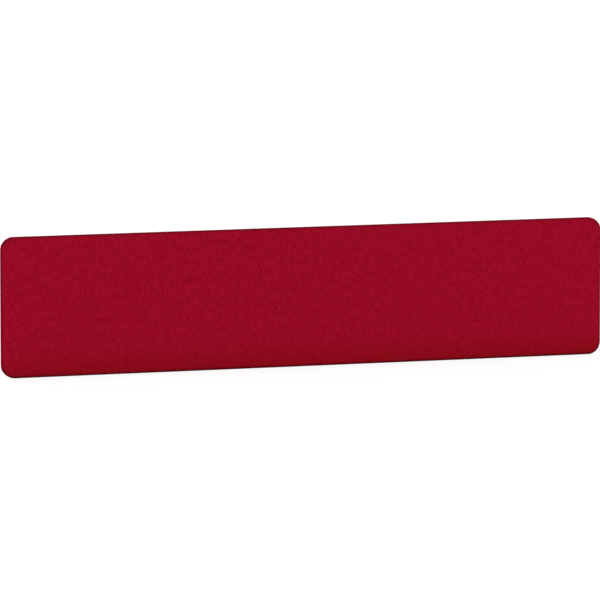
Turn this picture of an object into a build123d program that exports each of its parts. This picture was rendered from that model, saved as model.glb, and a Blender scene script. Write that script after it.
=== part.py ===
# Acoustic divider screen: a doweled board frame filled with fibre batts, faced with thin foam
# and dressed in a removable wool cover that closes with a zip recessed in the bottom edge.
# Millimetres. +X runs along the screen, +Y points out of its back and +Z up.
# The origin is at the middle of the bottom edge.
from build123d import *
import os

os.makedirs("parts", exist_ok=True)

# Driving sizes of the screen
panel_length = 1800.0
panel_height = 400.0
corner_radius = 38.0  # of the outline, seen from the front
edge_radius = 7.5  # of the roll from a face into the edge band
board_thickness = 18.0
foam_thickness = 4.5
cover_thickness = 1.5
panel_thickness = board_thickness + 2 * (foam_thickness + cover_thickness)
overrun = 5.0  # how far a cutting solid runs past what it cuts

# Frame
top_rail_depth = 50.0
bottom_rail_depth = 60.0
upright_width = 45.0
dowel_radius = 4.0
dowel_length = 40.0
dowel_pitch = 24.0  # between the two dowels of a joint
dowel_end_gap = 1.0  # glue room past each end of a dowel
dowel_chamfer = 0.8

# Filling
absorber_gap = 0.4  # between a batt and the frame round it

# Bracket inserts and the openings to them
insert_length = 13.0
insert_radius = 5.0
insert_bore_radius = 2.5  # M6 minor diameter
insert_flange_radius = 7.0
insert_flange_thickness = 1.2
bracket_pitch = 64.0  # between the two inserts of a bracket
bracket_inset = 300.0  # from an end of the screen to the middle of a bracket
bracket_height = 35.0  # above the bottom edge
bolt_opening_radius = 4.5  # through the foam and the cloth

# Zip
zip_inset = 60.0  # from an end of the screen to the end of the chain
zip_recess = 6.0  # from the bottom edge up to the middle of the tape
zip_end_room = 10.0  # from the end of the chain to the end of the opening in the cloth
channel_end_room = 6.0  # from the end of that opening to the end of the channel
tape_thickness = 0.7
tape_end_length = 8.0  # tape past the end of the chain
chain_row_width = 2.0
chain_height = 2.0
chain_gap = 1.0  # between the two rows, where the slider's web runs
fold_radius = 0.9  # where the cloth turns up into the channel
running_gap = 0.3  # between moving and fixed pieces

slider_length = 16.0
slider_width = 8.0
slider_tail_width = 6.9
slider_height = 4.2
slider_taper_share = 0.45  # of the slider's length, where it narrows towards its tail
slider_corner = 0.8
slider_side_gap = 0.5  # between the slider and the turned-up cloth
slider_top_gap = 1.4  # between the slider and the top of the channel
stop_length = 4.0
stop_row_width = 2.8

crown_length = 7.0
crown_width = 1.8
crown_post = 1.0
crown_bar = 0.7
pull_pin_radius = 0.5
pull_thickness = 1.0
pull_length = 20.0  # from the pin to the tip
pull_width = 5.0
pull_eye_length = 4.3  # from the pin to the far side of the window round the crown
pull_hole_radius = 0.8
pull_tip_radius = 2.2

# Worked out from the sizes above
half_length = panel_length / 2
half_thickness = panel_thickness / 2
half_board = board_thickness / 2
seam_y = half_thickness - edge_radius
rail_bottom = cover_thickness
rail_top = panel_height - cover_thickness
frame_end = half_length - cover_thickness
upright_bottom = rail_bottom + bottom_rail_depth
upright_top = rail_top - top_rail_depth
bay_width = (2 * frame_end - 4 * upright_width) / 3
post_x = (bay_width + upright_width) / 2
stile_x = frame_end - upright_width / 2
upright_places = [-stile_x, -post_x, post_x, stile_x]
bracket_x = half_length - bracket_inset

chain_half_length = half_length - zip_inset
opening_half_length = chain_half_length + zip_end_room
opening_half_width = slider_width / 2 + slider_side_gap
channel_half_width = opening_half_width + cover_thickness
channel_top = zip_recess + slider_height / 2 + slider_top_gap
tape_bottom = zip_recess - tape_thickness / 2
tape_top = zip_recess + tape_thickness / 2
tape_half_length = chain_half_length + tape_end_length
chain_inner = chain_gap / 2
chain_outer = chain_inner + chain_row_width
stop_face = chain_half_length - stop_length
slider_x = stop_face - running_gap - slider_length / 2
slider_bottom = zip_recess - slider_height / 2
pin_z = slider_bottom - running_gap - pull_pin_radius
crown_bottom = pin_z - pull_pin_radius - running_gap - crown_bar


def block(x0, x1, y0, y1, z0, z1):
    """A box between two corners."""
    return Pos((x0 + x1) / 2, (y0 + y1) / 2, (z0 + z1) / 2) * Box(x1 - x0, y1 - y0, z1 - z0)


def envelope(inset):
    """The screen's outer shape, with every face moved in by inset."""
    outline = RectangleRounded(
        panel_length - 2 * inset, panel_height - 2 * inset, corner_radius - inset
    )
    standing = Plane.XZ * Pos(0, panel_height / 2) * outline
    slab = extrude(standing, panel_thickness / 2 - inset, both=True)
    rims = slab.faces().filter_by(Axis.Y).edges()
    return fillet(rims, edge_radius - inset)


def layer(solid, y0, y1):
    """The part of a solid between two depths."""
    reach = half_length + overrun
    return solid & block(-reach, reach, y0, y1, -overrun, panel_height + overrun)


def save(shape, node):
    """One node's STEP file."""
    export_step(shape, f"parts/{node}.step")


def one(shape):
    """The single solid of a shape that has just one."""
    return shape.solids()[0]


# The outer shape, and the same shape under the cloth
skin = envelope(0.0)
core = envelope(cover_thickness)
cloth = skin - core


def dowel_places(x):
    """Middle of each dowel of an upright, at its two ends."""
    return [
        (x + side * dowel_pitch / 2, z)
        for side in (-1, 1)
        for z in (upright_bottom, upright_top)
    ]


def dowel(x, z):
    """A beech dowel with chamfered ends, centred on a joint."""
    pin = Cylinder(dowel_radius, dowel_length)
    pin = chamfer(pin.edges().filter_by(GeomType.CIRCLE), dowel_chamfer)
    return Pos(x, 0, z) * pin


def dowel_holes():
    """The drillings for every dowel, a little deeper than the dowels."""
    drill = Cylinder(dowel_radius, dowel_length + 2 * dowel_end_gap)
    return [Pos(x, 0, z) * drill for place in upright_places for x, z in dowel_places(place)]


def insert_places():
    """Across positions of the four bracket inserts."""
    return [
        side * bracket_x + step * bracket_pitch / 2 for side in (-1, 1) for step in (-1, 1)
    ]


def along_y(radius, y0, y1, x, z):
    """A round bar through the screen's thickness between two depths."""
    bar = Rot(90, 0, 0) * Cylinder(radius, y1 - y0)
    return Pos(x, (y0 + y1) / 2, z) * bar


def insert_body(x):
    """The outside of one bracket insert: its barrel and its flange."""
    barrel = along_y(insert_radius, half_board - insert_length, half_board, x, bracket_height)
    flange = along_y(
        insert_flange_radius, half_board - insert_flange_thickness, half_board, x, bracket_height
    )
    return barrel + flange


def channel():
    """The routed channel for the zip, with round ends."""
    half = opening_half_length + channel_end_room
    outline = SlotOverall(2 * half, 2 * channel_half_width)
    return Pos(0, 0, rail_bottom - overrun) * extrude(
        outline, channel_top - rail_bottom + overrun
    )


# Frame
holes = dowel_holes()
board = layer(core, -half_board, half_board)
reach = half_length + overrun

top_rail = board & block(-reach, reach, -half_board, half_board, upright_top, rail_top + overrun)
top_rail = top_rail - holes
save(one(top_rail), "frame_top_rail")

bottom_rail = board & block(
    -reach, reach, -half_board, half_board, rail_bottom - overrun, upright_bottom
)
bottom_rail = bottom_rail - holes - channel() - [insert_body(x) for x in insert_places()]
save(one(bottom_rail), "frame_bottom_rail")


def upright(x):
    """A stile or post that stands between the rails."""
    half = upright_width / 2
    bar = board & block(x - half, x + half, -half_board, half_board, upright_bottom, upright_top)
    return one(bar - holes)


upright_names = ["frame_left_stile", "frame_left_post", "frame_right_post", "frame_right_stile"]
for name, place in zip(upright_names, upright_places):
    save(upright(place), name)

dowels = [dowel(x, z) for place in upright_places for x, z in dowel_places(place)]
save(Compound(children=dowels), "frame_dowels")


def bracket_insert(x):
    """A flanged threaded insert with its bore."""
    bore = along_y(
        insert_bore_radius,
        half_board - insert_length - overrun,
        half_board + overrun,
        x,
        bracket_height,
    )
    return one(insert_body(x) - bore)


save(Compound(children=[bracket_insert(x) for x in insert_places()]), "bracket_inserts")


# Filling
def absorber(x0, x1):
    """A fibre batt between two uprights, as thick as the board."""
    return block(
        x0 + absorber_gap,
        x1 - absorber_gap,
        -half_board,
        half_board,
        upright_bottom + absorber_gap,
        upright_top - absorber_gap,
    )


absorber_names = ["absorber_left", "absorber_centre", "absorber_right"]
for name, left, right in zip(absorber_names, upright_places, upright_places[1:]):
    half = upright_width / 2
    save(absorber(left + half, right - half), name)


def bolt_openings():
    """The way in for a bolt, from the back down to each insert."""
    return [
        along_y(bolt_opening_radius, half_board, half_thickness + overrun, x, bracket_height)
        for x in insert_places()
    ]


save(one(layer(core, -half_thickness, -half_board)), "front_foam")
rear_foam = layer(core, half_board, half_thickness) - bolt_openings()
save(one(rear_foam), "rear_foam")

# Cover
save(one(layer(cloth, -half_thickness - overrun, -seam_y)), "front_cover")
rear_cover = layer(cloth, seam_y, half_thickness + overrun) - bolt_openings()
save(one(rear_cover), "rear_cover")

band = layer(cloth, -seam_y, seam_y) - block(
    -opening_half_length, opening_half_length, -seam_y, seam_y, -overrun, channel_top
)
save(one(band), "edge_band")


def zip_border():
    """The front border: flat under the rail, then turned up into the channel."""
    flat = block(
        -opening_half_length, opening_half_length, -seam_y, -opening_half_width, 0, cover_thickness
    )
    turned = block(
        -opening_half_length,
        opening_half_length,
        -channel_half_width,
        -opening_half_width,
        0,
        tape_bottom,
    )
    border = one(flat + turned)
    fold = (
        border.edges()
        .filter_by(Axis.X)
        .filter_by_position(Axis.Z, -fold_radius / 2, fold_radius / 2)
        .sort_by(Axis.Y)[-1]
    )
    return fillet(fold, fold_radius)


border = zip_border()
save(border, "zip_border_front")
save(mirror(border, Plane.XZ), "zip_border_rear")


# Zip
def stop_row(x0, y0, y1):
    """A crimped stop that starts at x0 and covers the tape from y0 to y1."""
    half = slider_height / 2
    stop = block(x0, x0 + stop_length, y0, y1, zip_recess - half, zip_recess + half)
    return fillet(stop.edges().filter_by(Axis.X), fold_radius)


top_stops = [
    stop_row(stop_face, chain_inner, chain_inner + stop_row_width),
    stop_row(stop_face, -chain_inner - stop_row_width, -chain_inner),
]
bottom_stop = stop_row(
    -chain_half_length, -chain_inner - stop_row_width, chain_inner + stop_row_width
)
stops = top_stops + [bottom_stop]
save(Compound(children=stops), "zip_stops")

tape = (
    block(
        -tape_half_length,
        tape_half_length,
        -channel_half_width,
        -chain_outer,
        tape_bottom,
        tape_top,
    )
    - stops
)
save(one(tape), "zip_tape_front")
save(mirror(one(tape), Plane.XZ), "zip_tape_rear")

chain = block(
    -stop_face,
    stop_face,
    -chain_outer,
    -chain_inner,
    zip_recess - chain_height / 2,
    zip_recess + chain_height / 2,
)
save(chain, "zip_chain_front")
save(mirror(chain, Plane.XZ), "zip_chain_rear")


def slider_outline():
    """The slider's plan, wide at its nose and narrower at its tail."""
    nose = slider_x + slider_length / 2
    waist = nose - slider_length * (1 - slider_taper_share)
    tail = nose - slider_length
    wide = slider_width / 2
    narrow = slider_tail_width / 2
    points = [
        (nose, -wide),
        (nose, wide),
        (waist, wide),
        (tail, narrow),
        (tail, -narrow),
        (waist, -wide),
    ]
    outline = make_face(Polyline(*points, close=True))
    return fillet(outline.vertices(), slider_corner)


def crown():
    """The bridge under the slider that the pull's pin turns in."""
    half = crown_length / 2
    bridge = block(
        slider_x - half,
        slider_x + half,
        -crown_width / 2,
        crown_width / 2,
        crown_bottom,
        slider_bottom + running_gap,
    )
    lower = bridge.edges().filter_by(Axis.Y).sort_by(Axis.Z)[:2]
    bridge = fillet(lower, crown_bar)
    window = block(
        slider_x - half + crown_post,
        slider_x + half - crown_post,
        -crown_width,
        crown_width,
        crown_bottom + crown_bar,
        slider_bottom,
    )
    return bridge - window


def slider():
    """Two plates joined by a web between the chain rows, with flanges over the tape."""
    body = Pos(0, 0, slider_bottom) * extrude(slider_outline(), slider_height)
    nose = slider_x + slider_length
    tail = slider_x - slider_length
    chain_room = chain_height / 2 + running_gap
    tape_room = tape_thickness / 2 + running_gap
    cavity = block(
        tail,
        nose,
        chain_inner - running_gap,
        chain_outer + running_gap,
        zip_recess - chain_room,
        zip_recess + chain_room,
    )
    slot = block(
        tail,
        nose,
        chain_outer,
        slider_width,
        zip_recess - tape_room,
        zip_recess + tape_room,
    )
    passage = cavity + slot
    return one(body - passage - mirror(passage, Plane.XZ) + crown())


save(slider(), "zip_slider")


def pull():
    """The pull, lying flat towards the open end, with its pin through the crown.

    Its arms end round the pin, so that they clear the slider as the pull swings.
    """
    z0 = pin_z - pull_thickness / 2
    half = pull_width / 2
    plate = block(slider_x - pull_length, slider_x, -half, half, z0, z0 + pull_thickness)
    upright_edges = plate.edges().filter_by(Axis.Z).sort_by(Axis.X)
    plate = fillet(upright_edges[:2], pull_tip_radius)
    inner = crown_width / 2 + running_gap
    window = block(
        slider_x - pull_eye_length,
        slider_x + overrun,
        -inner,
        inner,
        -overrun,
        channel_top,
    )
    eye = Pos(slider_x - pull_length + pull_tip_radius + pull_hole_radius, 0, pin_z) * Cylinder(
        pull_hole_radius, 2 * pull_thickness
    )
    pin = Pos(slider_x, 0, pin_z) * Rot(90, 0, 0) * Cylinder(pull_pin_radius, pull_width)
    return one(plate - window - eye + pin)


save(pull(), "zip_pull")

print("screen", panel_length, panel_thickness, panel_height)
print("slider rests at x", slider_x, "and travels", 2 * slider_x)
print("pull's pin at z", pin_z, "lowest point of the crown", crown_bottom)
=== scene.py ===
# %% [markdown]
# A desk divider screen is a long, low board in a removable wool cover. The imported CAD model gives
# its frame, its foam and its zip at their real sizes. This lesson dresses that model: it makes the
# cloth, the foam and the zip as surfaces, paints every piece with nodes, and lights the result as
# in a plain pale studio. Everything is in metres. The screen runs along X, its front looks
# towards -Y, and it stands on its bottom edge at height 0.

# %% Load the frame
import math

import bmesh
import bpy
import numpy as np
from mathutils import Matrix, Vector


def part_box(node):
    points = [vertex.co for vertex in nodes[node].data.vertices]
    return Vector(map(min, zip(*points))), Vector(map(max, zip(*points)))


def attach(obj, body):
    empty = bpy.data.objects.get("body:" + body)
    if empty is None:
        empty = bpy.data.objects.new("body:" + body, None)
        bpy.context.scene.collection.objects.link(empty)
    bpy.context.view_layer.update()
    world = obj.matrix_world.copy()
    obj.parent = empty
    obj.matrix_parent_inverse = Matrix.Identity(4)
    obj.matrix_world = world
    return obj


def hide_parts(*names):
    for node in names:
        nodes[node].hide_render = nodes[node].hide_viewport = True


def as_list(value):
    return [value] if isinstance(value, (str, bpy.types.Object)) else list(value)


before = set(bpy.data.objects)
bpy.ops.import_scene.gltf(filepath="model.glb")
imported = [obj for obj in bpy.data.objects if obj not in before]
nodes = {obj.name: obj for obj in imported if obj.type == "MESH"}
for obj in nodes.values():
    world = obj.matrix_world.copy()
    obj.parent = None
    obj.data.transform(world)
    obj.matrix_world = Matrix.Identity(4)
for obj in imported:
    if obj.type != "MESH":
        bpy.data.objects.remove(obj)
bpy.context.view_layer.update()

# %% [markdown]
# The sizes below come from the CAD nodes where a node's box gives them. The others repeat the
# CAD's own values: the radius of the outline's corners, the line where the face cloth meets the
# edge band, and the width of the opening for the zip. Only the wool is a tenth of a millimetre
# thinner than there.

# %% Sizes of the screen
MM = 0.001
_, band_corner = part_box("edge_band")
HALF_LENGTH = band_corner.x
HEIGHT = band_corner.z
HALF_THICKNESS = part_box("rear_cover")[1].y
CORNER = 38 * MM  # radius of the outline, seen from the front
SEAM_Y = 7.5 * MM  # where the face cloth is sewn to the edge band
CLOTH = 1.4 * MM  # thickness of the wool
FOAM_BACK = -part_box("front_foam")[1].y  # the foam lies on the board here
OPENING_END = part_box("zip_border_front")[1].x
OPENING_SIDE = 4.5 * MM  # half the width of the zip's opening
MIDDLE = Vector((0, 0, HEIGHT / 2))
print("length", 2 * HALF_LENGTH, "height", HEIGHT, "thickness", 2 * HALF_THICKNESS)

# %% [markdown]
# Most pieces are grids of points. A grid is a table of places worked out with numpy, and each cell
# of the table is one face. Grids that share an edge are welded into one skin: points that fall on
# each other are merged, which also closes the seams and the corners. Each point carries a second
# pair of numbers, its place on the flat cloth in metres, so that a weave can follow the surface.


# %% A helper that turns grids into a piece
def cells(rows, columns):
    """Corner numbers of each cell of a grid, in order round the cell."""
    first = np.arange(rows * columns).reshape(rows, columns)[:-1, :-1].ravel()
    return np.stack([first, first + 1, first + columns + 1, first + columns], axis=1)


def weld(mesh, centre):
    """Merges points that coincide and turns every face outwards, which is away from a centre."""
    bm = bmesh.new()
    bm.from_mesh(mesh)
    bmesh.ops.remove_doubles(bm, verts=bm.verts, dist=2e-6)
    bmesh.ops.delete(bm, geom=[v for v in bm.verts if not v.link_faces], context="VERTS")
    bmesh.ops.recalc_face_normals(bm, faces=bm.faces)
    if centre is not None:
        middle = Vector(centre)
        away = sum(f.calc_area() * f.normal.dot(f.calc_center_median() - middle) for f in bm.faces)
        if away < 0:
            bmesh.ops.reverse_faces(bm, faces=bm.faces)
    bm.to_mesh(mesh)
    bm.free()


def piece(name, grids, centre=None, crease=None):
    """One mesh object from grids.

    A grid is its places (rows, columns, 3), or many copies of them, then its places on the flat
    cloth (rows, columns, 2), and sometimes a test that takes the middles of the cells and says
    which of them stay.
    """
    corners, places, flat, total = [], [], [], 0
    for place, cloth, *test in grids:
        rows, columns = place.shape[-3:-1]
        copies = place.size // (rows * columns * 3)
        starts = total + rows * columns * np.arange(copies)
        found = (cells(rows, columns)[None] + starts[:, None, None]).reshape(-1, 4)
        middles = place.reshape(-1, 3)[found - total].mean(axis=1)
        corners.append(found[test[0](middles)] if test else found)
        places.append(place.reshape(-1, 3))
        flat.append(np.broadcast_to(cloth, place.shape[:-1] + (2,)).reshape(-1, 2))
        total += place.size // 3
    corners, places, flat = (np.concatenate(part) for part in (corners, places, flat))
    mesh = bpy.data.meshes.new(name)
    mesh.vertices.add(len(places))
    mesh.vertices.foreach_set("co", places.astype(np.float32).ravel())
    mesh.loops.add(corners.size)
    mesh.loops.foreach_set("vertex_index", corners.astype(np.int32).ravel())
    mesh.polygons.add(len(corners))
    mesh.polygons.foreach_set("loop_start", np.arange(0, corners.size, 4, dtype=np.int32))
    mesh.update(calc_edges=True)
    layer = mesh.uv_layers.new(name="Cloth")
    layer.data.foreach_set("uv", flat[corners.ravel()].astype(np.float32).ravel())
    weld(mesh, centre)
    mesh.polygons.foreach_set("use_smooth", np.ones(len(mesh.polygons), dtype=bool))
    if crease is not None:
        mesh.set_sharp_from_angle(angle=math.radians(crease))
    made = bpy.data.objects.new(name, mesh)
    bpy.context.scene.collection.objects.link(made)
    print(name, "has", len(mesh.vertices), "points and", len(mesh.polygons), "faces")
    return made


def thicken(made, thickness):
    """Gives a skin its wall, on its inner side."""
    wall = made.modifiers.new("wall", "SOLIDIFY")
    wall.thickness = thickness
    wall.offset = -1
    return made


def stack(*tables):
    """Tables of numbers side by side, as one table of places."""
    return np.stack(np.broadcast_arrays(*tables), axis=-1)


# %% [markdown]
# Seen from the front, the screen is a rectangle with round corners. Stations are set round that
# outline: at each one we know the middle of its corner's circle, or the point one corner radius
# inside a straight side, and the direction straight outwards. Any ring round the screen is then
# one multiplication away, and at an inset of one corner radius each corner's ring shrinks to a
# point, where a plain rectangle of cells takes over.


# %% Stations round the outline
class Outline:
    """Stations round a rounded rectangle, anticlockwise as the front is seen."""

    def __init__(self, left, right, low, high, radius, across, up, arc_steps):
        """across and up are the stations' places on the long sides and on the ends."""
        self.radius = radius
        quarter = np.linspace(0, np.pi / 2, arc_steps + 1)[1:-1]
        turn = np.pi / 2
        runs = [
            (across, low + radius, -turn),
            (right - radius, low + radius, quarter - turn),
            (right - radius, up, 0.0),
            (right - radius, high - radius, quarter),
            (across[::-1], high - radius, turn),
            (left + radius, high - radius, quarter + turn),
            (left + radius, up[::-1], 2 * turn),
            (left + radius, low + radius, quarter + 2 * turn),
            (across[:1], low + radius, 3 * turn),
        ]
        runs = [np.broadcast_arrays(*run) for run in runs]
        self.x, self.z, self.angle = (np.concatenate([run[k] for run in runs]) for k in range(3))
        self.out_x, self.out_z = np.cos(self.angle), np.sin(self.angle)
        edge_x, edge_z = self.at(0.0)
        steps = np.hypot(np.diff(edge_x), np.diff(edge_z))
        self.run = np.concatenate([[0.0], np.cumsum(steps)])

    def at(self, inset):
        """Places at an inset: the station's centre plus outwards times the rest of the radius."""
        reach = self.radius - inset
        return self.x + self.out_x * reach, self.z + self.out_z * reach


def between(start, stop, pitch):
    """Even steps from start to stop, as near to a pitch as they come."""
    return np.linspace(start, stop, max(2, round((stop - start) / pitch) + 1))


# %% [markdown]
# The cloth of a face is stretched over thin foam. It is flat in the middle, fuller by half a
# millimetre than at its rim, and rolls over the foam's soft edge in a quarter of an ellipse until
# it meets the edge band. The seam there pulls it in a little, and because the cloth is eased into
# the seam, the roll is very slightly uneven along it. All of it follows from two numbers: how far
# along the outline, and how far in from the seam.

# %% Lines of the face grid
ROLL_REACH = 10.5 * MM  # from the outline to where the face is flat
CROWN = 0.5 * MM
CROWN_GROWTH = 35 * MM
FACE_PITCH = 4 * MM
ARC_STEPS = 16

steps = int((HALF_LENGTH - CORNER) / FACE_PITCH)
ends = np.array([HALF_LENGTH - CORNER, OPENING_END])
across = np.sort(np.concatenate([-ends, np.arange(-steps, steps + 1) * FACE_PITCH, ends]))
up = np.append(np.arange(CORNER, HEIGHT - CORNER - MM, 5 * MM), HEIGHT - CORNER)
roll_turns = np.radians([0, 2.5, 6, 10, 15, 22, 31, 42, 54, 66, 78, 90])
inner_insets = np.append(np.array([13.5, 17.5, 22, 27, 32]) * MM, CORNER)
screen_outline = Outline(
    -HALF_LENGTH, HALF_LENGTH, 0.0, HEIGHT, CORNER, across, up, ARC_STEPS
)
print("stations round the outline:", len(screen_outline.x))

# %% How a face swells, and how its seam pulls
GROOVE = 0.7 * MM
GROOVE_WIDTH = 1.3 * MM
PUCKER = 0.12 * MM
PUCKER_FADE = 7 * MM


def crown(x, z):
    """Fullness of the face: it grows from the rim over a few centimetres, then stays."""
    from_end = 1 - np.exp(-(HALF_LENGTH - np.abs(x)) / CROWN_GROWTH)
    from_side = 1 - np.exp(-np.minimum(z, HEIGHT - z) / CROWN_GROWTH)
    return CROWN * from_end * from_side


def pucker(run):
    """Unevenness along a seam, from 0 to 2: two waves whose places drift.

    Each goes a whole number of times round the screen, so that the seam closes on itself.
    """
    turn = 2 * np.pi * run / screen_outline.run[-1]
    drift = 1.3 * np.sin(21 * turn) + 0.9 * np.sin(10 * turn + 1)
    return 1 + 0.6 * np.sin(223 * turn + drift) + 0.4 * np.sin(150 * turn - 2 * drift)


def seam_pull(from_seam, run):
    """How far a seam draws the cloth in: a groove at the stitches, and pucker round them."""
    groove = GROOVE * np.exp(-((from_seam / GROOVE_WIDTH) ** 2))
    return groove + PUCKER * np.exp(-((from_seam / PUCKER_FADE) ** 2)) * pucker(run)


# %% The face as grids
def face_grids(side):
    """The rim and the middle of a face cloth, for the front (-1) or the back (1).

    Round the rim, each ring lies in from the outline by the reach times one less the cosine of a
    turn, and away from the seam by the depth times its sine. The middle is flat, and the crown is
    added to both. On the flat cloth, a ring lies as far out as the roll is long.
    """
    depth = HALF_THICKNESS - SEAM_Y - CROWN
    insets = np.append(ROLL_REACH * (1 - np.cos(roll_turns)), inner_insets)
    depths = np.append(depth * np.sin(roll_turns), np.full(len(inner_insets), depth))
    length = np.append(0.0, np.cumsum(np.hypot(np.diff(insets), np.diff(depths))))
    insets, depths, length = insets[:, None], depths[:, None], length[:, None]
    o = screen_outline
    x, z = o.at(insets + seam_pull(length, o.run))
    y = side * (SEAM_Y + depths + crown(x, z))
    outwards = length[-1] - length
    rim_cloth = stack(o.x + o.out_x * outwards, o.z + o.out_z * outwards)
    x2, z2 = np.meshgrid(across, up)
    y2 = side * (SEAM_Y + depth + crown(x2, z2))
    return [(stack(x, y, z), rim_cloth), (stack(x2, y2, z2), stack(x2, z2))]


front_cloth = thicken(piece("front_cloth", face_grids(-1), MIDDLE), CLOTH)

# %% [markdown]
# The back is the same cloth, with four small openings low down, where the bolts of a pair of desk
# brackets reach the threaded inserts in the frame. Round each one, a rectangle of cells is left
# out, and a ring of cells takes its place: the ring's outer points are the rectangle's own, and
# its inner points lie on a circle, where the cloth turns in.

# %% Bolt openings
OPENING_X = np.array([-632, -568, 568, 632]) * MM
OPENING_Z = 35 * MM
OPENING_R = 4.6 * MM
patch_x = np.arange(-3, 4) * FACE_PITCH
patch_z = np.array([22, 27, 32, 38, 43, 48]) * MM  # heights that the face's grid has too


def patch_rim():
    """The rectangle round an opening, point by point, and each point's direction from its middle.

    It runs along the foot, up the right, back along the top and down the left to where it began.
    """
    runs = [
        (patch_x, patch_z[0]),
        (patch_x[-1], patch_z[1:-1]),
        (patch_x[::-1], patch_z[-1]),
        (patch_x[0], patch_z[-2::-1]),
    ]
    runs = [np.broadcast_arrays(*run) for run in runs]
    rim_x, rim_z = (np.concatenate([run[k] for run in runs]) for k in (0, 1))
    return rim_x, rim_z, np.arctan2(rim_z - OPENING_Z, rim_x)


def patch(x, share, sunk):
    """A ring of cells round an opening at x, row by row.

    share goes from 0 on the rectangle to 1 on the round hole, and sunk is how many millimetres
    the row lies under the face.
    """
    rim_x, rim_z, angle = patch_rim()
    share, sunk = np.array(share)[:, None], np.array(sunk)[:, None] * MM
    px = x + rim_x + share * (OPENING_R * np.cos(angle) - rim_x)
    pz = rim_z + share * (OPENING_Z + OPENING_R * np.sin(angle) - rim_z)
    y = HALF_THICKNESS - CROWN + crown(px, pz) - sunk
    return stack(px, y, pz), stack(px, pz)


def outside_openings(middles):
    """True for cells that lie outside every opening's rectangle."""
    beside = np.abs(middles[:, :1] - OPENING_X).min(axis=1) > patch_x[-1]
    return beside | (middles[:, 2] < patch_z[0]) | (middles[:, 2] > patch_z[-1])


# %% Rear cloth
turned_in = ([0, 0.35, 0.62, 0.82, 0.94, 1, 1, 0.97], [0, 0, 0.02, 0.06, 0.2, 0.5, 1.1, 1.9])
rear_cloth = piece(
    "rear_cloth",
    [(*grid, outside_openings) for grid in face_grids(1)]
    + [patch(x, *turned_in) for x in OPENING_X],
    MIDDLE,
)
thicken(rear_cloth, CLOTH)

# %% [markdown]
# The edge band is one strip of the same cloth between the two faces. It runs from one end of the
# zip's opening, round a lower corner, up, along the top and down the other end. It is the outline
# swept across the screen's thickness, and it sinks into a groove at both its seams, as the face
# cloth does, so that the two meet there.

# %% Edge band
BAND_EDGE = SEAM_Y - 0.03 * MM  # a hair short of the face cloth's edge
band_places = np.array([0, 0.5, 1.1, 2.0, 2.97, 4.8, 7.47])  # from the seam to the middle, in mm
FOLD = 0.9 * MM  # radius of the cloth's fold at the opening
fold_turns = np.radians(np.arange(0, 91, 15))
TAPE_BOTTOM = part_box("zip_tape_front")[0].z


def band_grid():
    """The outline carried across the thickness, without the stations above the zip's opening."""
    o = screen_outline
    on_bottom = np.isclose(o.angle, -np.pi / 2) | np.isclose(o.angle, 1.5 * np.pi)
    stays = ~on_bottom | (np.abs(o.x) >= OPENING_END)
    first = np.flatnonzero(stays & (o.x > 0) & on_bottom)[0]
    order = np.roll(np.arange(len(o.x) - 1), -first)
    order = order[stays[order]]
    from_seam = np.append(band_places, band_places[-2::-1])[:, None] * MM
    y = np.append(-BAND_EDGE + band_places * MM, (BAND_EDGE - band_places * MM)[-2::-1])[:, None]
    sunk = seam_pull(from_seam, o.run[order])
    reach = o.radius - sunk
    x, z = o.x[order] + o.out_x[order] * reach, o.z[order] + o.out_z[order] * reach
    run = np.unwrap(o.run[order], period=o.run[-1])
    return stack(x, y, z), stack(run, y)


def tab_grid(band, end):
    """One end of the band between the zip's borders, turned up in a quarter circle."""
    place, cloth = band
    rows = np.abs(place[:, end, 1]) < OPENING_SIDE + 1e-5
    start, cloth = place[rows, end], cloth[rows, end]
    wall = np.linspace(2 * FOLD, TAPE_BOTTOM - 0.1 * MM, 4)
    inwards = np.append(FOLD * np.sin(fold_turns), np.full(4, FOLD)) * -np.sign(start[0, 0])
    upwards = np.append(FOLD * (1 - np.cos(fold_turns)), wall)
    x, z = start[:, :1] + inwards, start[:, 2:] + upwards
    return stack(x, start[:, 1:2], z), stack(cloth[:, :1] + upwards, cloth[:, 1:])


band = band_grid()
edge_band = piece("edge_band_cloth", [band, tab_grid(band, 0), tab_grid(band, -1)], MIDDLE)
thicken(edge_band, CLOTH)

# %% [markdown]
# Along the bottom, a narrow border of cloth runs from each face's seam towards the middle, folds
# up into the channel and is sewn to the zip's tape there. It is one profile carried along X.

# %% Zip borders
HEM = 1.25 * MM  # thickness of a border, whose cloth is pressed flat
HEM_MIDDLE = (9 * MM, 8 * MM)  # across and up: the border's outer skin faces away from here
HEM_PULLED = 4 * MM  # how much of a border its seam draws in


def border_grid(side):
    """The border's profile: flat under the rail, a quarter circle, then up to the tape."""
    fold_y = OPENING_SIDE + FOLD * (1 - np.sin(fold_turns))
    fold_z = FOLD * (1 - np.cos(fold_turns))
    flat_y = np.array([0, 0.5, 1.1, 1.8]) * MM
    y = np.concatenate([BAND_EDGE - flat_y, fold_y, np.full(4, OPENING_SIDE)])
    z = np.concatenate([np.zeros(4), fold_z, np.linspace(1.6 * MM, TAPE_BOTTOM, 4)])
    length = np.append(0.0, np.cumsum(np.hypot(np.diff(y), np.diff(z))))[:, None]
    x = between(-OPENING_END, OPENING_END, 2.5 * MM)
    sunk = seam_pull(length, x + HALF_LENGTH - CORNER) * (length < HEM_PULLED)
    return stack(x, side * y[:, None], z[:, None] + sunk), stack(x, length)


def border(name, side):
    """A border as a piece, for the front (-1) or the back (1)."""
    across_middle, up_middle = HEM_MIDDLE
    return thicken(piece(name, [border_grid(side)], (0, side * across_middle, up_middle)), HEM)


border_front = border("zip_hem_front", -1)
border_rear = border("zip_hem_rear", 1)

# %% [markdown]
# A zip closes with two rows of moulded teeth. One tooth is a ring of twelve points, waisted behind
# its head, carried through its height and closed at both ends. It is repeated along the row, with
# the two rows half a pitch apart. The heads stop just short of the middle, where the web of the
# slider runs between them.

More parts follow.
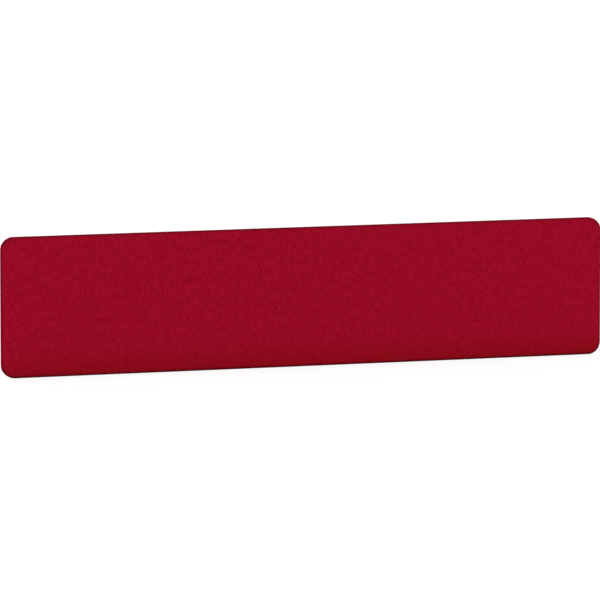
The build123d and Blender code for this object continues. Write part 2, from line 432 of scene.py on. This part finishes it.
# %% Zip teeth
TOOTH_PITCH = 2.3 * MM
tooth_half = np.array([0.42, 0.56, 0.36, 0.52, 0.44, 0.17]) * MM  # from the heel to the nose
tooth_y = np.array([2.72, 2.3, 1.35, 0.82, 0.45, 0.25]) * MM
tooth_scale = np.array([0, 0.85, 1, 0.85, 0])[:, None]
chain_low, chain_high = (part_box("zip_chain_front")[k].z for k in (0, 1))
tooth_z = chain_low + (chain_high - chain_low) * np.array([0, 0, 0.5, 1, 1])[:, None]


def teeth_grid(side, shift):
    """One tooth as a closed grid, its ring times a scale at each height, copied along the row."""
    ring_x = np.concatenate([tooth_half, -tooth_half[::-1], tooth_half[:1]])
    ring_y = np.concatenate([tooth_y, tooth_y[::-1], tooth_y[:1]])
    middle = tooth_y.mean()
    half_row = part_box("zip_chain_front")[1].x - TOOTH_PITCH
    at = np.arange(-half_row, half_row, TOOTH_PITCH) + shift
    x = ring_x * tooth_scale + at[:, None, None]
    y = side * (middle + (ring_y - middle) * tooth_scale)
    return stack(x, y, tooth_z), stack(ring_x, ring_y)


teeth_front = piece("zip_teeth_front", [teeth_grid(-1, 0.0)], crease=50)
teeth_rear = piece("zip_teeth_rear", [teeth_grid(1, TOOTH_PITCH / 2)], crease=50)

# %% [markdown]
# Under the cloth lies a thin sheet of foam on each face. It repeats the roll of the cloth one
# cloth's thickness further in, and is flat where it is glued to the board.

# %% Foam
UNDER_CLOTH = CLOTH + 0.05 * MM  # how far the foam's skin lies under the face
FOAM_MIDDLE = 11 * MM  # between the two sides of a sheet
FOAM_PITCH = 14 * MM
BOARD_RING = 6 * MM  # inset of the last ring on the board, before the roll
coarse = between(CORNER - HALF_LENGTH, HALF_LENGTH - CORNER, FOAM_PITCH)
coarse = coarse[np.abs(coarse[:, None] - OPENING_X).min(axis=1) > patch_x[-1] + 3 * MM]
foam_across = np.unique(np.concatenate([*(x + patch_x for x in OPENING_X), coarse]).round(7))
foam_up = np.arange(60 * MM, HEIGHT - 50 * MM, FOAM_PITCH)
foam_up = np.concatenate([up[:1], patch_z[4:], foam_up, up[-1:]])
foam_box = (CLOTH - HALF_LENGTH, HALF_LENGTH - CLOTH, CLOTH, HEIGHT - CLOTH)
foam_outline = Outline(*foam_box, CORNER - CLOTH, foam_across, foam_up, arc_steps=8)


def foam_grids(side):
    """Rim, front and back of a foam sheet: flat at the board, then the roll, then the face.

    The roll is the cloth's own quarter of an ellipse, from the height where it leaves the board.
    """
    depth = HALF_THICKNESS - SEAM_Y - CROWN - UNDER_CLOTH
    low_turn = np.arcsin((FOAM_BACK - SEAM_Y) / depth)
    turns = np.linspace(low_turn, np.pi / 2, 8)
    reach = ROLL_REACH - CLOTH
    inner = np.append(np.array([13.5, 22, 27, 32]) * MM, CORNER) - CLOTH
    insets = np.concatenate([inner[::-1], [BOARD_RING], reach * (1 - np.cos(turns)), inner])
    flat_back = np.full(len(inner) + 1, FOAM_BACK)
    face = np.full(len(inner), SEAM_Y + depth)
    y = np.concatenate([flat_back, SEAM_Y + depth * np.sin(turns), face])[:, None]
    full = (y > FOAM_BACK + 1e-5).astype(float)
    x, z = foam_outline.at(insets[:, None])
    x2, z2 = np.meshgrid(foam_across, foam_up)
    back = stack(x2, side * FOAM_BACK, z2)
    front = stack(x2, side * (SEAM_Y + depth + crown(x2, z2)), z2)
    rim = stack(x, side * (y + full * crown(x, z)), z)
    grids = [(grid, grid[..., [0, 2]]) for grid in (rim, front, back)]
    if side < 0:
        return grids
    share = [0, 0.4, 0.8, 1, 1, 0.8, 0.4, 0]  # in to the hole over the face, and out at the board
    rings = [patch(x, share, np.full(len(share), UNDER_CLOTH / MM)) for x in OPENING_X]
    for ring, _ in rings:
        ring[len(share) // 2 :, :, 1] = FOAM_BACK
    return [(*grid, outside_openings) for grid in grids] + rings


front_foam = piece("front_foam_sheet", foam_grids(-1), (0, -FOAM_MIDDLE, HEIGHT / 2), crease=40)
rear_foam = piece("rear_foam_sheet", foam_grids(1), (0, FOAM_MIDDLE, HEIGHT / 2), crease=40)

# %% [markdown]
# Each bay of the frame is filled with a batt of pressed fibre, cut a little loose. A batt is the
# same kind of closed shape as the foam: round its rim, with a front and a back, and its faces are
# never quite even, because pressed fibre isn't.

# %% Fibre batts
BATT_EDGE = 4 * MM
BATT_WAVES = 0.03  # height of the waves, as a share of half the thickness
batt_turns = np.radians(np.arange(0, 91, 22.5))


def batt_grids(node):
    """A pad as long and high as its CAD node, with rounded edges and uneven faces."""
    low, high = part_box(node)
    across_lines = between(low.x + BATT_EDGE, high.x - BATT_EDGE, 8 * MM)
    up_lines = between(low.z + BATT_EDGE, high.z - BATT_EDGE, 8 * MM)
    box = (low.x, high.x, low.z, high.z)
    o = Outline(*box, BATT_EDGE, across_lines, up_lines, arc_steps=3)
    inset = BATT_EDGE * (1 - np.sin(batt_turns))
    y = high.y - BATT_EDGE * (1 - np.cos(batt_turns))
    insets, y = np.append(inset, inset[::-1]), np.append(-y, y[::-1])
    rim_x, rim_z = o.at(insets[:, None])
    x, z = np.meshgrid(across_lines, up_lines)

    def uneven(x, y, z):
        """Slow waves in two directions, always drawn inwards."""
        lengthwise = np.sin(x / (17 * MM) + 2 * np.sin(z / (41 * MM)))
        waves = lengthwise * np.sin(z / (13 * MM) + x / (60 * MM))
        return stack(x, y * (1 - BATT_WAVES * (1 + waves)), z)

    grids = [uneven(rim_x, y[:, None], rim_z), uneven(x, -high.y, z), uneven(x, high.y, z)]
    return [(grid, grid[..., [0, 2]]) for grid in grids], (low + high) / 2


batts = {}
for side_name in ("left", "centre", "right"):
    grids, middle = batt_grids("absorber_" + side_name)
    batts[side_name] = piece("fibre_batt_" + side_name, grids, middle, crease=60)

# %% [markdown]
# The edge of each bolt opening is oversewn, so that the cloth doesn't fray: short stitches lie
# side by side round the hole. A stitch is a small tube bent over the cloth's edge, closed at both
# ends, with six sides, because there are hundreds of them.

# %% Stitches round the bolt openings
STITCHES = 44  # round one opening
THREAD_R = 0.36 * MM
STITCH_START = OPENING_R - 0.2 * MM
STITCH_LENGTH = 2.6 * MM
arch_along = np.array([0, 0.15, 0.5, 0.85, 1.0])[:, None]
arch_lift = np.array([-1.1, 0.12, 0.3, 0.2, -0.35])[:, None] * MM
arch_swell = np.array([0, 1, 1, 1, 0])[:, None]


def opening_stitches():
    """Tubes round every opening: a ring of six points carried along a short arch.

    The arch runs outwards from the hole. The ring's cosine goes sideways and its sine upwards.
    """
    ring = np.linspace(0, 2 * np.pi, 7)
    angle = np.arange(STITCHES) * 2 * np.pi / STITCHES
    angle = (angle + 0.04 * np.sin(5 * angle))[:, None, None]
    sideways = THREAD_R * arch_swell * np.cos(ring)
    upwards = THREAD_R * arch_swell * np.sin(ring) + arch_lift
    out = np.broadcast_to(STITCH_START + arch_along * STITCH_LENGTH, sideways.shape)
    x = out * np.cos(angle) - sideways * np.sin(angle)
    z = out * np.sin(angle) + sideways * np.cos(angle) + OPENING_Z
    x = x[None] + OPENING_X[:, None, None, None]
    z = np.broadcast_to(z[None], x.shape)
    y = HALF_THICKNESS - CROWN + crown(x, z) + upwards
    return stack(x, y, z), stack(out, sideways)


stitches = piece("bolt_opening_stitches", [opening_stitches()])

# %% [markdown]
# Behind each opening sits a flanged insert that takes an M6 bolt. It is turned round its axis: a
# threaded bore, a hexagonal socket for the key that drives it in, the flange, and a coarse outer
# thread that bites into the rail. Every row of the grid is a ring, and its radius depends on the
# angle where the ring is part of a thread or of the socket.

# %% Bracket inserts
INSERT_MOUTH = 9.0  # this cell is in mm, with y pointing out of the screen's back
INSERT_BACK = -4.0
BORE_END = 6.0  # the socket begins here
THREAD_START, THREAD_END = -3.4, 7.4
BORE_THREAD = (1.0, 2.5, 2.95)  # pitch, and the least and the greatest radius
WOOD_THREAD = (2.4, 4.1, 4.95)
KEY_HALF = 3.0  # half the socket, across its flats
FLANGE = [(6.6, INSERT_MOUTH), (6.9, 8.93), (6.95, 8.8), (6.95, 7.95), (6.8, 7.8), (4.9, 7.8)]
insert_angle = np.radians(np.arange(0, 361, 10))


def thread_rows(y, pitch, least, greatest):
    """Radii of a screw thread: a triangle wave of the place along it less the turn about it."""
    turn = y[:, None] / pitch - insert_angle / (2 * np.pi)
    wave = 2 * np.abs(turn - np.floor(turn) - 0.5)
    return least + (greatest - least) * wave


def insert_grid():
    """The insert's skin, from the back of the bore round the flange and down the outside.

    Each row has a place along the axis and a radius at every angle, which gives x and z as the
    radius times the angle's cosine and sine.
    """
    bore_y = between(INSERT_BACK, BORE_END, 0.2)
    outer_y = between(THREAD_START, THREAD_END, 0.36)[::-1]
    hexagon = KEY_HALF / np.cos((insert_angle % (np.pi / 3)) - np.pi / 6)
    plain = np.ones_like(insert_angle)
    bore = thread_rows(bore_y, *BORE_THREAD)
    socket = [hexagon * 0.97, hexagon, hexagon + 0.3]
    flange = [r * plain for r, _ in FLANGE]
    back = [3.9 * plain, 2.7 * plain, bore[0]]
    radius = np.concatenate([bore, socket, flange, thread_rows(outer_y, *WOOD_THREAD), back])
    socket_y = [BORE_END + 0.05, INSERT_MOUTH - 0.25, INSERT_MOUTH]
    flange_y = [along for _, along in FLANGE]
    y = np.concatenate([bore_y, socket_y, flange_y, outer_y, [INSERT_BACK] * 3])[:, None]
    x = radius * np.cos(insert_angle) * MM + OPENING_X[:, None, None]
    z = radius * np.sin(insert_angle) * MM + OPENING_Z
    return stack(x, y * MM, z), stack(radius * MM, y * MM)


inserts = piece("threaded_inserts", [insert_grid()], crease=35)

# %% [markdown]
# A material is a small graph of nodes. To keep it readable, a socket is wrapped in a class whose
# operators add Math nodes, so that a pattern can be written as a sum or a product. Every other
# node comes from one method, which takes the node's type, its settings and its inputs. The same
# class of graph serves for the light of the world.


# %% Helpers for materials
class Value:
    """A number that changes over a surface."""

    def __init__(self, graph, socket):
        self.graph, self.socket = graph, socket

    def math(self, operation, *others):
        """A Math node on this value and others."""
        return self.graph.node("Math", {"operation": operation}, dict(enumerate((self, *others))))

    def __add__(self, other):
        return self.math("ADD", other)

    def __sub__(self, other):
        return self.math("SUBTRACT", other)

    def __rsub__(self, other):
        return self.graph.node("Math", {"operation": "SUBTRACT"}, {0: other, 1: self})

    def __mul__(self, other):
        return self.math("MULTIPLY", other)

    def __truediv__(self, other):
        return self.math("DIVIDE", other)

    __radd__, __rmul__ = __add__, __mul__


class Graph:
    """A tree of nodes."""

    def __init__(self, tree):
        self.tree = tree

    def node(self, kind, settings=None, inputs=None, output=0):
        """Adds a node: its settings first, then its sockets' values or links."""
        made = self.tree.nodes.new("ShaderNode" + kind)
        for key, value in (settings or {}).items():
            setattr(made, key, value)
        for key, value in (inputs or {}).items():
            if isinstance(value, Value):
                self.tree.links.new(value.socket, made.inputs[key])
            else:
                made.inputs[key].default_value = value
        return Value(self, made.outputs[output])

    def scaled(self, place, *scale):
        """A place with each coordinate times its own scale."""
        return self.node("VectorMath", {"operation": "MULTIPLY"}, {0: place, 1: scale})

    def parts(self, place):
        """The three coordinates of a place, each as a value."""
        separated = self.node("SeparateXYZ", None, {0: place})
        return [Value(self, socket) for socket in separated.socket.node.outputs]

    def noise(self, place, scale, detail=2.0, roughness=0.5, distortion=0.0):
        """Soft noise from 0 to 1, with its own scale along each coordinate."""
        place = self.scaled(place, *scale)
        sockets = {"Vector": place, "Scale": 1.0, "Detail": detail}
        sockets.update({"Roughness": roughness, "Distortion": distortion})
        return self.node("TexNoise", None, sockets)

    def mix(self, share, first, second):
        """A colour between two, by a share: a Mix node for colours has them at sockets 6 and 7."""
        settings = {"data_type": "RGBA", "clamp_factor": True}
        return self.node("Mix", settings, {0: share, 6: first, 7: second}, output=2)

    def bump(self, height, distance, strength=1.0):
        """A Bump node for a height."""
        sockets = {"Height": height, "Distance": distance, "Strength": strength}
        return self.node("Bump", None, sockets)

    def cloth_place(self):
        """Places on the flat cloth."""
        return self.node("UVMap", {"uv_map": "Cloth"})

    def object_place(self):
        """Places in the screen's own frame."""
        return self.node("TexCoord", output="Object")


class Finish(Graph):
    """A material made of nodes around one Principled BSDF."""

    def __init__(self, name, **constants):
        """constants are the shader's own sockets, with underscores for spaces."""
        self.material = bpy.data.materials.new(name)
        self.material.use_nodes = True
        super().__init__(self.material.node_tree)
        self.shader = self.tree.nodes["Principled BSDF"]
        for socket, value in constants.items():
            self.shader.inputs[socket.replace("_", " ")].default_value = value

    def paint(self, **varying):
        """Links what changes over the surface to the shader."""
        for socket, value in varying.items():
            self.tree.links.new(value.socket, self.shader.inputs[socket.replace("_", " ")])


def give(finish, *objects):
    """Puts a finish on pieces and CAD nodes, in place of what they had."""
    for made in objects:
        if not made.material_slots:
            made.data.materials.append(finish.material)
        for slot in made.material_slots:
            slot.material = finish.material
    print(finish.material.name, "on", len(objects), "pieces")


# %% [markdown]
# The cover is a fulled wool: a plain weave whose threads are spun from fibres dyed in several
# tones of red and then felted a little, so that the weave shows only from near. From a distance
# it is an even crimson with faint upright streaks, where a darker or lighter thread runs. It could
# be one noise over the whole cover, but then no thread would show from near. So each thread draws
# its own tone, in steps as wide as a thread, and slower noises add the streaks. Shade is painted
# into the colour too: the cloth is darker along its seams, darker and warmer towards the foot,
# where the floor shades it, and darkest at the very foot and round the lower corners. Wool hardly
# shines, so the shader's own reflection is turned down.

# %% Wool cloth
YARN = 1.15 * MM  # from one thread to the next
WOOL_DARK = (0.200, 0.0002, 0.0085, 1)
WOOL_LIGHT = (0.405, 0.0056, 0.0282, 1)
WOOL_SEAM_SHADE = (0.130, 0.0022, 0.0080, 1)  # painted shade along the seams
WOOL_FLOOR_SHADE = (0.205, 0.0024, 0.0005, 1)  # painted shade low down, where the floor shades the cloth, warmer than the rest
WOOL_FOOT_SHADE = (0.052, 0.0009, 0.0032, 1)  # painted shade at the very foot and round the lower corners
# How far the painted shade reaches from the seams, up from the floor and at the foot.
SEAM_SHADE_REACH = 6.5 * MM
BAND_SHADE_WEIGHT = 1.6  # how much more the distance from the seam counts on the edge band
FLOOR_SHADE_REACH = 50 * MM
FOOT_REACH = 6.8 * MM


def plain_weave(finish, place, pitch):
    """Height of a plain weave, and which thread is on top: a wave of each thread, by turns."""
    turned = finish.scaled(place, math.pi / pitch, math.pi / pitch, 0)
    u, v, _ = finish.parts(turned)
    warp, weft = u.math("SINE").math("ABSOLUTE"), v.math("SINE").math("ABSOLUTE")
    over = (u.math("SINE") * v.math("SINE")).math("GREATER_THAN", 0.0)
    height = over * (warp * (0.55 + 0.45 * weft)) + (1 - over) * (weft * (0.55 + 0.45 * warp))
    return height, over


def painted_shade_places(finish):
    """How much painted shade a place takes at the seams, near the floor and at the foot, 0 to 1.

    The distance in from the outline is the corner's radius less the distance from the rectangle of
    the corners' middles. With the distance across the thickness it makes the distance from the
    seam. Corner rises from 0 on the straight sides to 1 halfway round a corner's arc. The seam
    shade is a bell curve of the distance from the seam, wider round a corner. The floor shade is a
    wide bell curve of the height. The foot shade is a narrow one, with more round the lower
    corners.
    """
    x, y, z = finish.parts(finish.object_place())
    past_x = (x.math("ABSOLUTE") - (HALF_LENGTH - CORNER)).math("MAXIMUM", 0)
    past_z = ((z - HEIGHT / 2).math("ABSOLUTE") - (HEIGHT / 2 - CORNER)).math("MAXIMUM", 0)
    inset = CORNER - (past_x * past_x + past_z * past_z).math("SQRT")
    across = y.math("ABSOLUTE") - SEAM_Y
    across = across.math("MAXIMUM", -BAND_SHADE_WEIGHT * across)
    corner = past_x * past_z * (2 / CORNER**2)
    from_seam = (inset * inset + across * across) / (SEAM_SHADE_REACH**2 * (1 + corner))
    squares = from_seam, z * z / FLOOR_SHADE_REACH**2, z * z / FOOT_REACH**2
    seam_shade, floor_shade, foot = [(-1 * square).math("EXPONENT") for square in squares]
    return seam_shade, floor_shade, foot + corner * seam_shade * floor_shade


def wool(name):
    """The cover's cloth, read on its flat places."""
    finish = Finish(name, Roughness=0.92, Specular_IOR_Level=0.03)
    place = finish.cloth_place()
    weave, over = plain_weave(finish, place, YARN)
    warp = finish.node("VectorMath", {"operation": "SNAP"}, {0: place, 1: (YARN, 0.1 * MM, 1)})
    weft = finish.node("VectorMath", {"operation": "SNAP"}, {0: place, 1: (0.1 * MM, YARN, 1)})
    streak = finish.noise(warp, (1 / (4.3 * MM), 1 / (18 * MM), 0), 3, 0.62)
    mottle = finish.noise(place, (1 / (17 * MM), 1 / (21 * MM), 0), 2)
    upright = finish.noise(warp, (1 / (0.8 * MM), 1 / (9 * MM), 0), 3, 0.6)
    level = finish.noise(weft, (1 / (9 * MM), 1 / (0.8 * MM), 0), 3, 0.6)
    fibre = finish.noise(place, (1 / (0.5 * MM), 1 / (0.6 * MM), 0), 3, 0.65, 2.5)
    thread = over * upright + (1 - over) * level
    tone = 0.5 + 1.2 * (streak - 0.5) + 0.45 * (mottle - 0.5) + 1.1 * (thread - 0.5)
    tone = tone + 0.75 * (fibre - 0.5) + 0.45 * (weave - 0.62)
    height = weave + 0.8 * fibre + 0.35 * thread
    seam_shade, floor_shade, foot_shade = painted_shade_places(finish)
    colour = finish.mix(tone, WOOL_DARK, WOOL_LIGHT)
    # Painted shade: warmer and darker towards the floor, darker along the seams, darkest at the
    # foot.
    colour = finish.mix(0.55 * floor_shade, colour, WOOL_FLOOR_SHADE)
    colour = finish.mix(0.8 * (seam_shade + foot_shade), colour, WOOL_SEAM_SHADE)
    finish.paint(
        Base_Color=finish.mix(0.4 * foot_shade, colour, WOOL_FOOT_SHADE),
        Normal=finish.bump(height, 0.16 * MM, 0.7),
    )
    return finish


wool_cloth = wool("crimson_wool")
give(wool_cloth, front_cloth, rear_cloth, edge_band, border_front, border_rear)

# %% [markdown]
# The thread is bonded polyester in the cloth's colour: a tight twist, a little glossier than wool.

# %% Thread
thread = Finish("seam_thread", Roughness=0.5, Specular_IOR_Level=0.3)
twist_place = thread.object_place()
twist = thread.noise(twist_place, (900, 900, 900), 2)
thread.paint(
    Base_Color=thread.mix(twist, (0.16, 0.004, 0.012, 1), (0.30, 0.010, 0.028, 1)),
    Normal=thread.bump(twist, 0.08 * MM),
)
give(thread, stitches)

# %% [markdown]
# The zip's tapes are polyester with slanting ribs, which lean opposite ways on the two sides,
# like a herringbone. Its teeth are moulded nylon, and its slider, pull and stops are nickel-plated
# metal with fine wear.

# %% Zip finishes
tape = Finish("ribbed_tape", Roughness=0.75, Specular_IOR_Level=0.25)
tape_place = tape.object_place()
rib = tape.scaled(tape_place, 2 * math.pi / (0.9 * MM), 2 * math.pi / (0.7 * MM), 0)
along, over, _ = tape.parts(rib)
ribs = ((along + over.math("ABSOLUTE")).math("SINE") + 1) * 0.5
tape.paint(
    Base_Color=tape.mix(ribs, (0.050, 0.0020, 0.006, 1), (0.120, 0.0045, 0.014, 1)),
    Normal=tape.bump(ribs, 0.12 * MM),
)
give(tape, nodes["zip_tape_front"], nodes["zip_tape_rear"])

teeth = Finish("moulded_nylon", Roughness=0.35)
teeth_tone = teeth.noise(teeth.object_place(), (400, 400, 400), 2)
teeth.paint(
    Base_Color=teeth.mix(teeth_tone, (0.070, 0.0030, 0.009, 1), (0.110, 0.0050, 0.014, 1)),
    Roughness=0.3 + 0.15 * teeth_tone,
)
give(teeth, teeth_front, teeth_rear)

nickel = Finish("zip_nickel", Metallic=1.0)
nickel_place = nickel.object_place()
wear = nickel.noise(nickel_place, (350, 900, 350), 4, 0.65)
nickel.paint(
    Base_Color=nickel.mix(wear, (0.42, 0.41, 0.39, 1), (0.66, 0.64, 0.61, 1)),
    Roughness=0.22 + 0.22 * wear,
    Normal=nickel.bump(nickel.noise(nickel_place, (2500, 2500, 2500), 2), 0.01 * MM),
)
give(nickel, nodes["zip_slider"], nodes["zip_pull"], nodes["zip_stops"])

# %% [markdown]
# Zinc plating on the threaded inserts is paler and bluer than nickel, with cloudy patches.

# %% Zinc
zinc = Finish("zinc_plate", Metallic=1.0)
cloud = zinc.noise(zinc.object_place(), (260, 260, 260), 4, 0.6)
zinc.paint(
    Base_Color=zinc.mix(cloud, (0.46, 0.49, 0.53, 1), (0.68, 0.70, 0.72, 1)),
    Roughness=0.28 + 0.3 * cloud,
)
give(zinc, inserts)

# %% [markdown]
# The frame is birch plywood. Its plies are layers across the screen's thickness, light and dark by
# turns, and its faces show fine grain along the length. The dowels are beech: pinkish, with short
# dark flecks along the grain.

# %% Wood
PLY = 1.38 * MM  # a light ply and a dark one
board = Finish("birch_plywood", Roughness=0.6, Specular_IOR_Level=0.3)
board_place = board.object_place()
grain = board.noise(board_place, (6, 1200, 90), 4, 0.6)
figure = board.noise(board_place, (2.5, 300, 22), 3, 0.6)
_, through, _ = board.parts(board_place)
plies = (through / PLY).math("FRACT").math("GREATER_THAN", 0.5)
ply_tone = 0.5 * figure + 0.4 * grain + 0.22 * plies
board.paint(
    Base_Color=board.mix(ply_tone, (0.66, 0.47, 0.28, 1), (0.42, 0.26, 0.13, 1)),
    Normal=board.bump(grain, 0.05 * MM),
)
frame_boards = [name for name in nodes if name.startswith("frame_") and name != "frame_dowels"]
give(board, *[nodes[name] for name in frame_boards])

beech = Finish("flecked_beech", Roughness=0.55, Specular_IOR_Level=0.3)
beech_place = beech.object_place()
fleck = beech.noise(beech_place, (1400, 1400, 160), 3, 0.6)
beech.paint(
    Base_Color=beech.mix(fleck, (0.62, 0.42, 0.26, 1), (0.36, 0.21, 0.12, 1)),
    Normal=beech.bump(fleck, 0.04 * MM),
)
give(beech, nodes["frame_dowels"])

# %% [markdown]
# Foam is a pale sponge of tiny open cells, and the batts are pressed recycled fibre: grey-white
# with a few coloured threads.

# %% Fillings
foam = Finish("open_cell_foam", Roughness=0.95, Specular_IOR_Level=0.1)
foam_place = foam.object_place()
pores = foam.node("TexVoronoi", {"feature": "F1"}, {"Vector": foam_place, "Scale": 900.0})
yellowing = foam.noise(foam_place, (14, 14, 14), 3)
foam_tone = 0.8 * pores + 0.4 * yellowing
foam.paint(
    Base_Color=foam.mix(foam_tone, (0.50, 0.47, 0.38, 1), (0.76, 0.73, 0.64, 1)),
    Normal=foam.bump(pores, 0.4 * MM),
)
give(foam, front_foam, rear_foam)

fibre = Finish("pressed_fibre", Roughness=0.95, Specular_IOR_Level=0.1, Sheen_Weight=0.2)
fibre_place = fibre.object_place()
strands = fibre.noise(fibre_place, (700, 700, 90), 5, 0.7)
tufts = fibre.noise(fibre_place, (60, 60, 60), 4, 0.6)
fleece = fibre.mix(strands, (0.36, 0.37, 0.38, 1), (0.72, 0.72, 0.70, 1))
coloured = fibre.noise(fibre_place, (160, 900, 700), 2).math("GREATER_THAN", 0.68)
fibre.paint(
    Base_Color=fibre.mix(coloured * 0.6, fleece, (0.13, 0.20, 0.34, 1)),
    Normal=fibre.bump(strands + tufts, 0.8 * MM),
)
give(fibre, *batts.values())

# %% [markdown]
# Every piece now rides with the screen's body, and the CAD node it stands for is hidden. The rows
# also list a material slot, or for cloth its cut and what it rests on, but nothing reads these.

# %% Hide the CAD nodes and attach the pieces
CUT_EXTRA = 12 * MM  # at each side of a face, for its roll and its seam
FACE_CUT = (2 * (HALF_LENGTH + CUT_EXTRA), HEIGHT + 2 * CUT_EXTRA)
BORDER_CUT = (10.5 * MM, 2 * OPENING_END)
band_foot = 2 * (HALF_LENGTH - CORNER - OPENING_END)
band_top = 2 * (HALF_LENGTH - CORNER)
band_ends = 2 * (HEIGHT - 2 * CORNER)
BAND_CUT = (20 * MM, band_foot + band_top + band_ends + 2 * math.pi * CORNER)

cloth_rows = [
    (front_cloth, "front_cover", FACE_CUT, ["front_foam_sheet"]),
    (rear_cloth, "rear_cover", FACE_CUT, ["rear_foam_sheet"]),
    (edge_band, "edge_band", BAND_CUT, ["frame_top_rail", "frame_left_stile"]),
    (border_front, "zip_border_front", BORDER_CUT, ["frame_bottom_rail"]),
    (border_rear, "zip_border_rear", BORDER_CUT, ["frame_bottom_rail"]),
]
for made, node, cut, rests_on in cloth_rows:
    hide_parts(node)
    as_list(rests_on)

other_rows = [
    (front_foam, "front_foam", "foam"),
    (rear_foam, "rear_foam", "foam"),
    (batts["left"], "absorber_left", "fibre_batt"),
    (batts["centre"], "absorber_centre", "fibre_batt"),
    (batts["right"], "absorber_right", "fibre_batt"),
    (teeth_front, "zip_chain_front", "zip_teeth"),
    (teeth_rear, "zip_chain_rear", "zip_teeth"),
    (inserts, "bracket_inserts", "zinc_steel"),
]
for made, node, slot in other_rows:
    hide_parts(node)
made_pieces = [row[0] for row in cloth_rows + other_rows] + [stitches]
for made in made_pieces:
    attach(made, "screen")
print(len(made_pieces), "pieces ride on the screen")

# %% [markdown]
# The photograph was taken from the front, a little from the left and from above, with a long lens
# far away. The camera's place and angles below make the screen's corners fall where they do there.

# %% Camera
LOOK_DOWN = math.radians(6.777)
LOOK_RIGHT = math.radians(18.123)
camera = bpy.data.objects.new("camera", bpy.data.cameras.new("camera"))
bpy.context.scene.collection.objects.link(camera)
camera.location = (-5.1652, -15.7345, 2.1579)
camera.rotation_euler = (math.pi / 2 - LOOK_DOWN, 0, -LOOK_RIGHT)
camera.data.lens = 350
camera.data.sensor_width = 36
camera.data.clip_start, camera.data.clip_end = 0.5, 200
bpy.context.scene.camera = camera
print("camera", round(camera.location.length, 2), "metres from the foot of the screen")

# %% [markdown]
# The floor is pale and takes a soft shadow. What the camera sees of it is lifted to white by a
# little light of its own, so that the ground looks white while the cloth is lit at a plain level.
# Metal and glass see that white too. Every other ray meets plain pale paint, so the floor adds no
# light to the cloth beyond what paint gives back. The lift holds a little less red than green and
# blue, because the cloth throws some of its red on the ground.

# %% Floor
FLOOR_HALF = 60  # metres from the middle to an edge
FLOOR_LIFT = 0.775


def seen_white(graph):
    """1 for the rays that meet white: the camera's, and those that metal or glass sends on."""
    rays = graph.node("LightPath").socket.node.outputs
    kinds = ("Is Camera Ray", "Is Glossy Ray", "Is Transmission Ray")
    camera_ray, glossy_ray, transmission_ray = (Value(graph, rays[kind]) for kind in kinds)
    return camera_ray.math("MAXIMUM", glossy_ray).math("MAXIMUM", transmission_ray)


floor_corners = np.array([(-1, -1, 0), (1, -1, 0), (1, 1, 0), (-1, 1, 0)]) * FLOOR_HALF
floor_mesh = bpy.data.meshes.new("floor")
floor_mesh.from_pydata(floor_corners.tolist(), [], [(0, 1, 2, 3)])
floor = bpy.data.objects.new("floor", floor_mesh)
bpy.context.scene.collection.objects.link(floor)

ground = Finish(
    "pale_floor", Base_Color=(0.85, 0.85, 0.85, 1), Roughness=0.9, Specular_IOR_Level=0
)
plain_paint = Value(ground, ground.shader.outputs["BSDF"])
grey = ground.node("BsdfDiffuse", None, {"Color": (0.42, 0.42, 0.42, 1)})
glow = ground.node("Emission", None, {"Color": (0.975, 1, 1, 1), "Strength": FLOOR_LIFT})
lifted = ground.node("AddShader", None, {0: grey, 1: glow})
chosen = ground.node("MixShader", None, {0: seen_white(ground), 1: plain_paint, 2: lifted})
ground.tree.links.new(chosen.socket, ground.tree.nodes["Material Output"].inputs["Surface"])
give(ground, floor)

# %% [markdown]
# The light is that of a plain studio: a white world at under half strength, and three lamps so
# wide that their shadows have no edge. The strongest stands in front and a little to the left, a
# weaker one lights the left end, and one behind keeps the back from going dark. The camera and
# metal see the world as white. Colours are shown as they come, without a film's curve.

# %% World and lamps
WORLD_LEVEL = 0.42

world = bpy.data.worlds.new("studio")
bpy.context.scene.world = world
world.use_nodes = True
sky = Graph(world.node_tree)
background = sky.tree.nodes["Background"]
background.inputs["Color"].default_value = (1, 1, 1, 1)
sky_level = WORLD_LEVEL + (1 - WORLD_LEVEL) * seen_white(sky)
sky.tree.links.new(sky_level.socket, background.inputs["Strength"])


def soft_sun(name, energy, angle, elevation, azimuth):
    """A very large, far lamp: how strong, how wide, how high, and how far round from the front."""
    lamp = bpy.data.objects.new(name, bpy.data.lights.new(name, "SUN"))
    bpy.context.scene.collection.objects.link(lamp)
    lamp.data.energy, lamp.data.angle = energy, math.radians(angle)
    lamp.rotation_euler = (math.radians(90 - elevation), 0, math.radians(azimuth))
    print(name, "of strength", energy)


soft_sun("front_light", energy=2.54, angle=50, elevation=8, azimuth=-20)
soft_sun("side_light", energy=0.8, angle=50, elevation=8, azimuth=-85)
soft_sun("rear_light", energy=1.5, angle=50, elevation=10, azimuth=165)

bpy.context.scene.view_settings.view_transform = "Standard"
